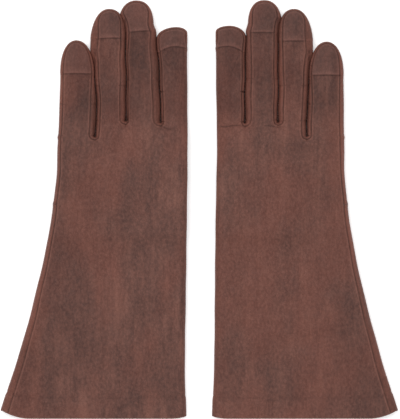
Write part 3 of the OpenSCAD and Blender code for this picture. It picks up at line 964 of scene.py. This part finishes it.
class Sewn:
    """Leather sheets, cut into the parts that self.part names for each triangle of the plan."""

    def make(self, part, slot, replaces=()):
        """One part of the cut-up sheets as an object."""
        back, palm = ((self.part == part) & ~hole for hole in self.holes)
        tris = np.concatenate([self.sheets.back[back], self.sheets.palm[palm]])
        piece = Piece(self.sheets.verts, self.normals, tris, **self.attributes)
        return self.add(part, piece, self.thickness, slot, replaces)

    def add(self, part, piece, thickness, slot, replaces=()):
        """The piece as an object, with its slot and the CAD nodes that it stands for."""
        thing = add_piece(f"{self.side}_{part}", self.side, piece, thickness, self.materials[slot])
        if replaces:
            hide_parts(*(f"{self.side}_{r}" for r in replaces))
        return thing

    def ride(self, thing, body):
        """Let a piece move with one of this glove's bodies."""
        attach(thing, f"{self.side}_{body}")

    def keep_attributes(self, **values):
        """Values between 0 and 1 for the material, the same on the back and on the palm."""
        self.attributes = {key: np.tile(np.clip(v, 0, 1), 2) for key, v in values.items()}


class Glove(Sewn):
    """One glove without its thumb."""

    thickness = LEATHER_T

    def __init__(self, side, materials):
        self.side = side
        self.materials = materials
        self.plan = Plan(side).lines()
        self.mesh()
        self.shape()

    def cuts(self):
        """Straight lines across the plan where pieces on different bodies meet."""
        lines = []
        for i in range(4):
            for y in finger_cuts(i):
                left, right = (float(e) for e in self.plan.edges(i, y))
                us = np.linspace(left, right, 12)
                lines.append(np.stack([us, np.full(len(us), y)], 1))
        right = float(self.plan.outer(GORE_Y))
        lines.append(np.array([[right - 4, GORE_Y], [right + 0.05, GORE_Y]]))
        return lines

    def mesh(self):
        plan = self.plan
        self.seam, first = seam_of(plan)
        self.patch_lines = [patch_line(plan, i) for i in range(4)]
        turn = np.linspace(0, 2 * math.pi, 41)
        hole = THUMB + HOLE_R * np.stack([np.cos(turn), np.sin(turn)], 1)
        outline = np.concatenate([plan.line, plan.hem_line])
        free = [offsets(plan.line, plan.w, first)]
        for line in self.patch_lines:
            free += [line + (0, s) for s in BESIDE_SEAM]
        for line, _, _ in self.crease_lines():
            n = normals_of(line)
            free += [line + n * s for s in (-1.2, -0.6, 0.0, 0.6, 1.2)]
        above_hem = (0.35, 0.9, HEM_DEPTH - 0.7, HEM_DEPTH, HEM_DEPTH + 0.7)
        free += [plan.hem_line + (0, s) for s in above_hem]
        flat, tris = mesh_plan(outline, [self.seam] + self.patch_lines + self.cuts() + [hole],
            np.concatenate(free), GRID_STEP)
        self.flat, self.tris2 = flat, tris
        self.d = distance(flat, plan.line)
        self.d_seam, self.along_seam = nearest(flat, self.seam)
        self.d_patch = np.min([distance(flat, line) for line in self.patch_lines], axis=0)
        self.labels(flat[tris].mean(1), first)
        hole = np.linalg.norm(flat[tris].mean(1) - THUMB, axis=1) < HOLE_R - 0.01
        self.holes = (False & hole, hole)  # in the back, in the palm

    def patch_y(self, points):
        """y of the patch seam of the finger that each point belongs to."""
        finger, at = fingers_at(self.plan, points), np.empty(len(points))
        for i, line in enumerate(self.patch_lines):
            here = finger == i
            at[here] = np.interp(points[here, 0], line[:, 0], line[:, 1])
        return at

    def labels(self, centres, first):
        """Which piece each triangle of the plan belongs to."""
        plan = self.plan
        fold = plan.line[:first + 1][::-1]
        hem = plan.hem_line[plan.hem_line[:, 0] < self.seam[-1, 0]]
        inner = np.concatenate([self.seam, hem, fold[::-1]])
        is_inner = inside(centres, inner)
        finger = fingers_at(plan, centres)
        y = centres[:, 1]
        cut = np.choose(finger, KNUCKLE_CUTS)
        middle = np.choose(finger, [m - CUT_BEFORE for m in MIDDLES])
        patch = self.patch_y(centres)
        part = np.full(len(centres), "trank", dtype="U24")
        for i, name in enumerate(FINGERS):
            above = (finger == i) & (y > cut)
            part[above & is_inner] = f"{name}_base_leather"
            part[above & ~is_inner] = f"{name}_base_gussets"
            end = above & (y > middle)
            part[end & is_inner] = f"{name}_end_leather"
            part[end & ~is_inner] = f"{name}_end_gusset"
            part[end & is_inner & (y > patch)] = f"{name}_touch_cap"
        below = (y <= cut) & ~is_inner
        outside = centres[:, 0] > plan.outer(y) - 9
        part[below & outside] = np.where(y[below & outside] > GORE_Y, "side_strip", "gore")
        nearest = np.argmin([np.abs(centres[:, 0] - plan.gap(k, y)) for k in range(3)], axis=0)
        for k, name in enumerate(CROTCHES):
            part[below & ~outside & (nearest == k)] = f"{name}_crotch"
        self.part = part

    def shape(self):
        plan, flat = self.plan, self.flat
        low, high = heights(plan, flat, self.d)
        high = high + relief(plan, flat, self.d)
        welded = self.d < 1e-4
        self.sheets = Sheets(flat, self.tris2, welded, low, high)
        n = self.sheets.normals()
        y = flat[:, 1]
        above_patch = y - self.patch_y(flat)
        seam_fade = np.clip(self.d / 0.4, 0, 1)
        pucker = 0.05 * np.sin(self.along_seam * 2.6) * bell(self.d_seam - 0.9, 0.9)
        gathers = 0.05 * np.sin(flat[:, 0] * 4.2) * bell(self.d_patch - 0.6, 0.8)
        out = groove(self.d_seam, 0.42) * seam_fade + groove(self.d_patch, 0.26, 0.36)
        out = out + (pucker + gathers) * seam_fade
        # caps stand a little proud of the finger's leather
        out = out + 0.2 * ramp(above_patch, -0.1, 0.4) * ramp(self.d_seam, 0, 1)
        rise = y - plan.hem(flat[:, 0])
        tacks = 0.10 * np.sin(flat[:, 0] * 1.25) * bell(rise - HEM_DEPTH, 1.0)
        out = out + 0.24 * (1 - ramp(rise, HEM_DEPTH - 0.6, HEM_DEPTH + 1.0)) + tacks
        out = out - 0.16 * bell(rise - HEM_DEPTH - 0.6, 0.7)
        far = [[self.seam[-1, 0], -200], [0, -200], [0, 200]]
        gusset = ~inside(flat, np.concatenate([self.seam, far]))
        out = out - 0.15 * gusset * ramp(self.d_seam, 0, 1) * ramp(self.d, 0, 1.5)
        # dark is painted shade along the creases
        raised, dark = self.creases(flat)
        out = out + raised
        both = np.concatenate([out, out])
        self.sheets.verts = self.sheets.verts + n * both[:, None]
        self.sheets.verts[:, 2] = np.maximum(self.sheets.verts[:, 2], LOWEST)
        self.normals = self.sheets.normals()
        # darker along the seams and patch seams: their thread, with painted shade in their grooves and along
        # the creases; a second stitch line runs over the index cap
        seam = bell(self.d_seam, 0.45) + dark \
            + 0.9 * bell(self.d_patch + 0.15 * np.sign(above_patch), 0.34)
        seam = seam + 0.5 * bell(above_patch - 2.6, 0.36) * ramp(self.d_seam, 0.3, 1.5) \
            * (flat[:, 0] < BORDERS[0] - 2)
        # Lighter where the leather is rubbed, at its edges and beside the seams; the band just above each
        # patch seam is a painted highlight on the cap's raised edge.
        worn = bell(self.d_seam - 0.9, 0.5) + bell(self.d, 0.8) \
            + 0.9 * bell(above_patch - 1.0, 0.45) * ramp(self.d_seam, 0.5, 1.5) \
            * (self.d_patch < 4)
        # darker on the fingers, where their leather's tone is darker, and towards the outer edge of the hand
        # and the cuff
        shade = ramp(y, 50, 72) * (0.80 + 0.55 * waves(flat, (12, 20), 4.0 + plan.style["start"]))
        across = (flat[:, 0] - FOLD_U) / (plan.outer(y) - FOLD_U)
        shade = shade + 0.30 * ramp(across, 0.35, 0.95) * (1 - ramp(y, 50, 72))
        # painted shade along the groove above the hem's turned edge
        shade = shade + 0.30 * bell(rise - HEM_DEPTH - 0.8, 1.5) \
            * (1 + waves(flat, (14, 30), 8.0))
        # painted shade deep in the gaps between the fingers, wider and stronger by their crotches
        gap = np.zeros(len(flat))
        for k in range(3):
            ys = np.linspace(plan.crotch[k], self.plan.tips[(0, 2, 3)[k]] - 6, 40)
            end = bell(np.maximum(y - plan.crotch[k], 0), 6)
            d_gap = distance(flat, np.stack([plan.gap(k, ys), ys], 1))
            gap = np.maximum(gap, (0.8 + 0.2 * end) * bell(d_gap, 0.55 + 0.30 * end))
        self.keep_attributes(seam=seam, worn=worn, shade=shade, gap=gap)

    def crease_lines(self):
        """Creases that run into the crotches, across the right glove's knuckles and by the left's, each with
        its depth and the strength of the painted shade along it.
        """
        plan, lines = self.plan, []
        for k in range(3):
            end = np.array([float(plan.gap(k, plan.crotch[k])), plan.crotch[k] - 2.4])
            for angle, length in ((-128, 5.0), (-90, 4.0), (-48, 5.5), (-20, 3.5)):
                a = math.radians(angle + 9 * math.sin(k * 2.1 + plan.style["start"]))
                steps = np.linspace(0, length, 9)[:, None]
                lines.append((end + steps * np.array([math.cos(a), math.sin(a)]), 0.16, 0.25))
        if self.side == "right":
            for start, stop, rise in ((FOLD_U + 4, BORDERS[0] + 1, -2.6),
                    (BORDERS[1] - 9, BORDERS[1], -2.8)):
                us = np.arange(start, stop, 0.5)
                ys = KNUCKLES[0] + rise + 0.5 * np.sin(us / 3.1)
                lines.append((np.stack([us, ys], 1), 0.32, 0.9))
        else:
            start = np.array([BORDERS[0] - 3, plan.crotch[0] - 2.5])
            steps = np.linspace(0, 1, 18)[:, None]
            lines.append((start + steps * (-6.5, -2.4), 0.26, 0.7))
        return lines

    def creases(self, flat):
        """How far the leather stands out beside its creases, and how much painted shade darkens them."""
        out, dark = np.zeros(len(flat)), np.zeros(len(flat))
        for line, depth, tone in self.crease_lines():
            d = distance(flat, line)
            out -= depth * bell(d, 0.5)
            out += 0.4 * depth * bell(d - 1.2, 0.6)
            # painted shade along the crease
            dark = np.maximum(dark, tone * bell(d, 0.45))
        return out, dark

    def blend_y(self, thing, a, b, start, end):
        """Bend a piece from body a to body b between two heights in the plan."""
        x = joint_point(f"{self.side}_wrist")[0]
        z = HAND_TOP / 2
        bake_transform(thing, f"{self.side}_{a}", f"{self.side}_{b}",
            start=Vector((x, start, z)) * MM, end=Vector((x, end, z)) * MM)

    def blend_wrist(self, thing):
        self.blend_y(thing, "cuff", "hand", WRIST_Y - WRIST_BLEND, WRIST_Y + WRIST_BLEND)

    def build(self):
        self.blend_wrist(self.make("trank", "glove_leather", ("cuff_trank", "hand_trank")))
        self.blend_wrist(self.make("gore", "strip_leather", ("cuff_gore",)))
        self.ride(self.make("side_strip", "strip_leather", ("hand_side_strip",)), "hand")
        for name in CROTCHES:
            self.ride(self.make(f"{name}_crotch", "strip_leather"), "hand")
        for i, f in enumerate(FINGERS):
            knuckle = "hand", f"{f}_base", KNUCKLE_CUTS[i], KNUCKLE_CUTS[i] + KNUCKLE_BLEND
            middle = f"{f}_base", f"{f}_end", MIDDLES[i] - MIDDLE_BLEND, MIDDLES[i] + MIDDLE_BLEND
            for part, slot, node, joint in (("base_leather", "glove_leather", "base_sleeve", knuckle),
                    ("base_gussets", "strip_leather", "base_fourchettes", knuckle),
                    ("end_leather", "glove_leather", "end_sleeve", middle),
                    ("end_gusset", "strip_leather", "end_fourchette", middle)):
                self.blend_y(self.make(f"{f}_{part}", slot, (f"{f}_{node}",)), *joint)
            self.ride(self.make(f"{f}_touch_cap", "touch_leather", (f"{f}_touch_patch",)), f"{f}_end")
        self.hem()
        self.lining()

    def hem_ring(self):
        """Vertex indices round the open hem: along the back from the fold, then back along the palm."""
        rim = rim_edges(self.sheets.tris)
        nxt = {a: b for a, b in rim.tolist()}
        start = next(iter(nxt))
        ring, at = [start], nxt[start]
        while at != start:
            ring.append(at)
            at = nxt[at]
        return np.array(ring)

    def hem(self):
        """The edge of the leather, rolled inward round the opening and laid up inside it."""
        ring = self.hem_ring()
        p = self.sheets.verts[ring]
        fold, outer = float(self.plan.fold(HEM_Y)), float(self.plan.outer(HEM_Y + HEM_RISE))
        flare = float(self.plan.outer(HEM_Y + HEM_RISE + HEM_DEPTH)) - outer
        up = np.zeros_like(p)
        up[:, 0] = flare * (p[:, 0] - fold) / (outer - fold) / HEM_DEPTH
        up[:, 1] = 1
        up = unit(up)
        along = np.roll(p, -1, axis=0) - np.roll(p, 1, axis=0)
        n = np.cross(along, up)
        n *= np.sign((n * (p - p.mean(0))).sum(1).mean())
        n = unit(n)
        n = unit(n + 0.5 * (np.roll(n, 1, axis=0) + np.roll(n, -1, axis=0)))
        r = LEATHER_T
        rows = [p + n * (r * (math.cos(a) - 1)) - up * (r * math.sin(a))
            for a in np.linspace(0, math.pi, HEM_ROLL)]
        rows += [rows[-1] + up * step - n * 0.05 for step in (1.5, 3.5, 6.0, 8.0, HEM_DEPTH)]
        count = len(ring)
        verts = np.concatenate(rows)
        verts[:, 2] = np.maximum(verts[:, 2], LOWEST_HEM)
        tris = tube_faces(len(rows), count)
        normals = vertex_normals(verts, tris)
        if (normals[:count] * n).sum() < 0:
            tris, normals = tris[:, ::-1], -normals
        normals[:count] = self.normals[ring]
        worn = np.where(np.arange(len(verts)) < HEM_ROLL * count, 0.6, 0.0)
        piece = Piece(verts, normals, tris, worn=worn)
        self.ride(self.add("hem_turn", piece, THIN_T, "glove_leather", ("cuff_hem",)), "cuff")

    def lining(self):
        """A knitted tube inside the cuff and the hand, from the turned hem to below the crotches."""
        centres = self.flat[self.tris2].mean(1)
        rise = centres[:, 1] - self.plan.hem(centres[:, 0])
        chosen = (rise > HEM_DEPTH - 1.5) & (centres[:, 1] < 43)
        palm = self.sheets.palm[chosen & ~self.holes[1]]
        tris = np.concatenate([self.sheets.back[chosen], palm])[:, ::-1]
        piece = Piece(self.sheets.verts - self.normals * (LEATHER_T + LINING_GAP), -self.normals, tris)
        self.blend_wrist(self.add("lining", piece, LINING_T, "lining_cloth",
            ("cuff_lining", "hand_lining")))


THUMB_CUT = 12.5      # along the thumb: the base piece ends here, before the middle joint
THUMB_CAP = 31.0      # the thumb's touch cap starts here
THUMB_GUSSET = 1.3
THUMB_ARC = 14.0      # length over which the thumb's tip is rounded
THUMB_GRID = 1.9      # mm between the points of the thumb's leather between its seams


class Thumb(Sewn):
    """The thumb, a flat pillow of its own, tucked under the palm and let into a round hole."""

    thickness = THUMB_T

    def __init__(self, glove):
        self.side, self.materials = glove.side, glove.materials
        reach = THUMB_MIDDLE - THUMB
        self.bend_at = float(np.linalg.norm(reach))
        self.along = reach / self.bend_at
        self.across = np.array([self.along[1], -self.along[0]])
        cap_high = mm_box("right_thumb_touch_patch")[1]
        self.half = mm_box("right_thumb_sleeve")[1].x - THUMB[0] - 0.1
        self.tip = (cap_high.y - THUMB[1] - self.half) / self.along[1] + self.half
        self.mesh()
        self.shape(glove)

    def cap_y(self, across):
        """How far along the thumb the seam of its touch cap lies."""
        return THUMB_CAP + 0.9 * np.cos(across / self.half * 1.4)

    def outline(self):
        """(across, along) points round the thumb: root, index side, tip, little finger's side."""
        root = np.radians(np.arange(-4, 184, 7))
        tip_from = self.tip - THUMB_ARC
        phis = np.linspace(0, math.pi, 37)
        side = np.arange(1.2, tip_from - 1, 1.3)

        def half(a):
            return self.half - 0.5 * ramp(a, 8, tip_from)

        left = np.stack([-half(side), side], 1)
        tip = np.stack([-half(tip_from) * np.sign(np.cos(phis)) * np.abs(np.cos(phis)) ** 0.86,
            tip_from + THUMB_ARC * np.sin(phis) ** 0.8], 1)
        right = np.stack([half(side[::-1]), side[::-1]], 1)
        base = np.stack([self.half * np.cos(root), -self.half * np.sin(root)], 1)
        return np.concatenate([left, tip, right, base[1:-1]])

    def mesh(self):
        line = self.outline()
        flats = np.concatenate([line, line[:1]])
        tip_at = int(np.argmax(line[:, 1]))
        seam_from = line[:tip_at + 6]
        n = normals_of(seam_from)
        w = THUMB_GUSSET * np.clip(np.minimum(np.arange(len(seam_from)),
            np.arange(len(seam_from))[::-1]) / 4, 0, 1)
        self.seam = seam_from + n * w[:, None]
        hole = np.radians(np.linspace(0, 360, 41))
        hole_line = THUMB_HOLE_R * np.stack([np.cos(hole), np.sin(hole)], 1)
        us = np.linspace(-self.half - 1, self.half + 1, 30)
        cut = np.stack([us, np.full(len(us), THUMB_CUT)], 1)
        self.cap_line = np.stack([us, self.cap_y(us)], 1)
        rows = [line + normals_of(line) * step for step in (0.25, 0.7, 1.4, 2.4)]
        rows += [self.cap_line + (0, s) for s in BESIDE_SEAM]
        self.flat, self.tris = mesh_plan(line, [self.seam[1:-1], cut, self.cap_line, hole_line],
            np.concatenate(rows), THUMB_GRID)
        self.d = distance(self.flat, flats)
        self.d_seam, self.along_seam = nearest(self.flat, self.seam)
        self.d_cap = distance(self.flat, self.cap_line)
        c = self.flat[self.tris].mean(1)
        gusset = inside(c, np.concatenate([seam_from, self.seam[::-1]]))
        part = np.full(len(c), "thumb_base_leather", dtype="U24")
        part[c[:, 1] > THUMB_CUT] = "thumb_end_leather"
        part[(c[:, 1] > self.cap_y(c[:, 0])) & ~gusset] = "thumb_touch_cap"
        part[gusset & (c[:, 1] <= THUMB_CUT)] = "thumb_base_gusset"
        part[gusset & (c[:, 1] > THUMB_CUT)] = "thumb_end_gusset"
        self.part = part
        hole = np.linalg.norm(c, axis=1) < THUMB_HOLE_R - 0.01
        self.holes = (hole, False & hole)  # in the back, in the palm side

    def shape(self, glove):
        """Heights of the two sheets, turned from the thumb's own plan into the glove's."""
        seed = glove.plan.style["start"] * 1.3
        top = THUMB_TOP - 0.25 - 0.25 * (1 + waves(self.flat, (9, 14), seed))
        bottom = 0.10 + 0.12 * (1 + waves(self.flat, (8, 12), seed + 3))
        plan = THUMB + self.flat[:, :1] * self.across + self.flat[:, 1:] * self.along
        self.sheets = Sheets(plan, self.tris, self.d < WELDED, *pillow(self.d, 4.2, bottom, top))
        n = self.sheets.normals()
        out = groove(self.d_seam, 0.34) * np.clip(self.d / 0.4, 0, 1) + groove(self.d_cap, 0.22, 0.36)
        out = out + 0.05 * np.sin(self.along_seam * 2.6) * bell(self.d_seam - 0.9, 0.9)
        for shift in (-2.5, 0.0, 2.6):  # creases over the middle joint
            line = np.array([[-self.half, self.bend_at + shift],
                [self.half * 0.7, self.bend_at + 1.5 * shift]])
            out -= 0.13 * bell(distance(self.flat, line), 0.6)
        self.sheets.verts = self.sheets.verts + n * np.tile(out, 2)[:, None]
        self.sheets.verts[:, 2] = np.clip(self.sheets.verts[:, 2], LOWEST, THUMB_TOP)
        self.normals = self.sheets.normals()
        # darker along the gusset seam and the cap's seam: their thread, with painted shade in their grooves
        seam = bell(self.d_seam, 0.45) + 0.7 * bell(self.d_cap, 0.40)
        worn = bell(self.d, 0.8)
        self.keep_attributes(seam=seam, worn=worn, shade=np.full(len(seam), 0.3))

    def blend_bend(self, thing):
        ends = []
        for step in (-MIDDLE_BLEND, MIDDLE_BLEND):
            p = THUMB + self.along * (self.bend_at + step)
            ends.append(Vector(place(self.side, np.array([[p[0], p[1], THUMB_TOP / 2]]))[0]))
        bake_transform(thing, f"{self.side}_thumb", f"{self.side}_thumb_end", start=ends[0], end=ends[1])

    def collar(self):
        """The short wall of leather that joins the thumb to the hole in the palm."""
        turn = np.radians(np.arange(0, 360, 7.5))
        rows = []
        for z, r in ((THUMB_TOP - 1.3, -0.9), (THUMB_TOP - 0.5, -0.35), (THUMB_TOP + 0.1, -0.04),
                (THUMB_TOP + 0.5, -0.1), (THUMB_TOP + 1.0, -0.5)):
            r = HOLE_R + r - 0.05 * (1 + np.sin(9 * turn)) * (r < -0.3)
            rows.append(np.stack([THUMB[0] + r * np.cos(turn), THUMB[1] + r * np.sin(turn),
                np.full(len(turn), z)], 1))
        verts, tris = np.concatenate(rows), tube_faces(len(rows), len(turn))[:, ::-1]
        piece = Piece(verts, vertex_normals(verts, tris), tris, seam=np.full(len(verts), 0.2))
        self.ride(self.add("thumb_collar", piece, THIN_T, "glove_leather"), "thumb")

    def build(self):
        self.ride(self.make("thumb_base_leather", "glove_leather", ("thumb_sleeve",)), "thumb")
        self.ride(self.make("thumb_base_gusset", "strip_leather"), "thumb")
        self.blend_bend(self.make("thumb_end_leather", "glove_leather", ("thumb_end",)))
        self.blend_bend(self.make("thumb_end_gusset", "strip_leather"))
        self.ride(self.make("thumb_touch_cap", "touch_leather", ("thumb_touch_patch",)), "thumb_end")
        self.collar()


def main():
    set_stage()
    materials = {  # each under its slot's name
        "glove_leather": leather("glove_leather", colour(119, 79, 68), colour(71, 47, 42),
            colour(115, 66, 54), 0.64),
        "strip_leather": leather("strip_leather", colour(113, 70, 59), colour(80, 50, 42),
            colour(123, 71, 58), 0.60, shading=0.3),
        "touch_leather": leather("touch_leather", colour(112, 75, 66), colour(80, 55, 49),
            colour(114, 70, 60), 0.68, 0.6, 0.55),
        "lining_cloth": knitted_cloth("lining_cloth", colour(92, 64, 55)),
    }
    for side in SIGN:
        glove = Glove(side, materials)
        glove.build()
        Thumb(glove).build()


main()
